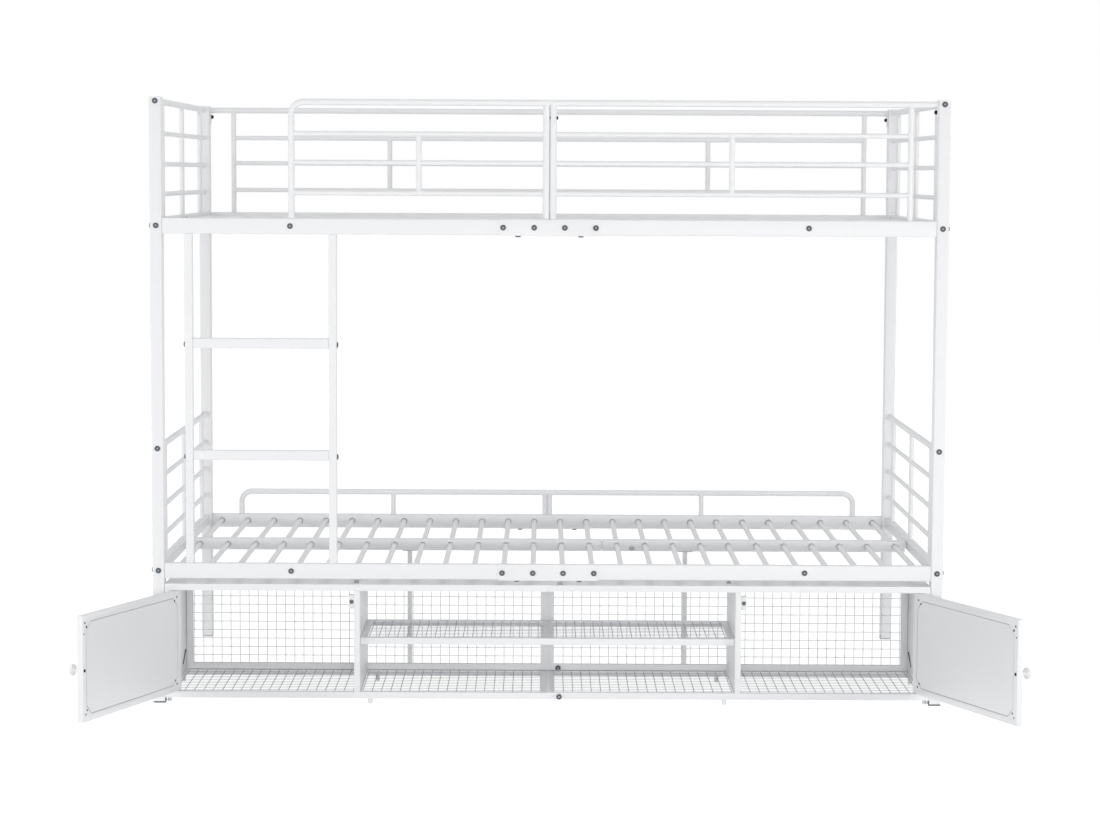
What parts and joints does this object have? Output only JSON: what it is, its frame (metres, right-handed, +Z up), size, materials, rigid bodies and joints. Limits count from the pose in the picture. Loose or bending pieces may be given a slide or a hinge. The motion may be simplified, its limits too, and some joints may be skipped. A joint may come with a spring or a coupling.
{
  "type": "metal bunk bed with storage cabinet",
  "caption": "White tubular bunk bed with slatted decks, guards and ladder, and a low wire cabinet with hinged doors and a shelf under the lower bunk.",
  "frame": {"origin": "on the floor, under the middle of the four corner posts", "axes": "+X along the bed to the right seen from its front, +Y from the front to the rear, +Z up"},
  "size_m": [2.2797, 1.4261, 1.515],
  "materials": {
    "white_powder_coat": "satin white powder coat on steel tube and sheet",
    "coated_wire": "satin white coating on welded steel wire",
    "zinc_plate": "zinc plate on screws and pins",
    "grey_plastic": "moulded grey plastic",
    "white_plastic": "moulded white plastic",
    "magnet_face": "dark nickel-coated magnet face"
  },
  "bodies": {
    "bed": {"post_front_left": "white_powder_coat", "foot_plug_front_left": "grey_plastic", "post_front_right": "white_powder_coat", "foot_plug_front_right": "grey_plastic", "post_rear_left": "white_powder_coat", "foot_plug_rear_left": "grey_plastic", "post_rear_right": "white_powder_coat", "foot_plug_rear_right": "grey_plastic", "end_panel_lower_left": "white_powder_coat", "deck_lower_left": "white_powder_coat", "end_panel_lower_right": "white_powder_coat", "deck_lower_right": "white_powder_coat", "splice_plate_front_lower": "white_powder_coat", "splice_plate_rear_lower": "white_powder_coat", "end_panel_upper_left": "white_powder_coat", "deck_upper_left": "white_powder_coat", "end_panel_upper_right": "white_powder_coat", "deck_upper_right": "white_powder_coat", "splice_plate_front_upper": "white_powder_coat", "splice_plate_rear_upper": "white_powder_coat", "guard_front_left": "white_powder_coat", "guard_front_right": "white_powder_coat", "guard_rear_left": "white_powder_coat", "guard_rear_right": "white_powder_coat", "low_guard_left": "white_powder_coat", "low_guard_right": "white_powder_coat", "ladder_stile_outer": "white_powder_coat", "ladder_stile_inner": "white_powder_coat", "ladder_rung_lower": "white_powder_coat", "ladder_rung_upper": "white_powder_coat", "centre_leg_left": "white_powder_coat", "centre_leg_right": "white_powder_coat", "shelf_frame": "white_powder_coat", "cabinet_top_left": "white_powder_coat", "cabinet_base_left": "white_powder_coat", "cabinet_back_frame_left": "white_powder_coat", "cabinet_side_left": "white_powder_coat", "cabinet_divider_left": "white_powder_coat", "mesh_back_left": "coated_wire", "mesh_base_left": "coated_wire", "hinge_pin_left_top": "zinc_plate", "hinge_pin_left_bottom": "zinc_plate", "catch_left": "white_plastic", "magnet_left": "magnet_face", "cabinet_top_right": "white_powder_coat", "cabinet_base_right": "white_powder_coat", "cabinet_back_frame_right": "white_powder_coat", "cabinet_side_right": "white_powder_coat", "cabinet_divider_right": "white_powder_coat", "mesh_back_right": "coated_wire", "mesh_base_right": "coated_wire", "hinge_pin_right_top": "zinc_plate", "hinge_pin_right_bottom": "zinc_plate", "catch_right": "white_plastic", "magnet_right": "magnet_face", "mesh_shelf": "coated_wire"},
    "left_door": {"door_left": "white_powder_coat", "knob_left": "white_plastic"},
    "right_door": {"door_right": "white_powder_coat", "knob_right": "white_plastic"}
  },
  "joints": [
    {"name": "left_door_hinge", "type": "hinge", "parent": "bed", "child": "left_door", "pos_m": [-0.932, -0.5025, 0.1579], "axis": [0, 0, 1], "range_deg": [-7.2, 112.8]},
    {"name": "right_door_hinge", "type": "hinge", "parent": "bed", "child": "right_door", "pos_m": [0.932, -0.5025, 0.1579], "axis": [0, 0, 1], "range_deg": [-114.6, 5.4]}
  ]
}
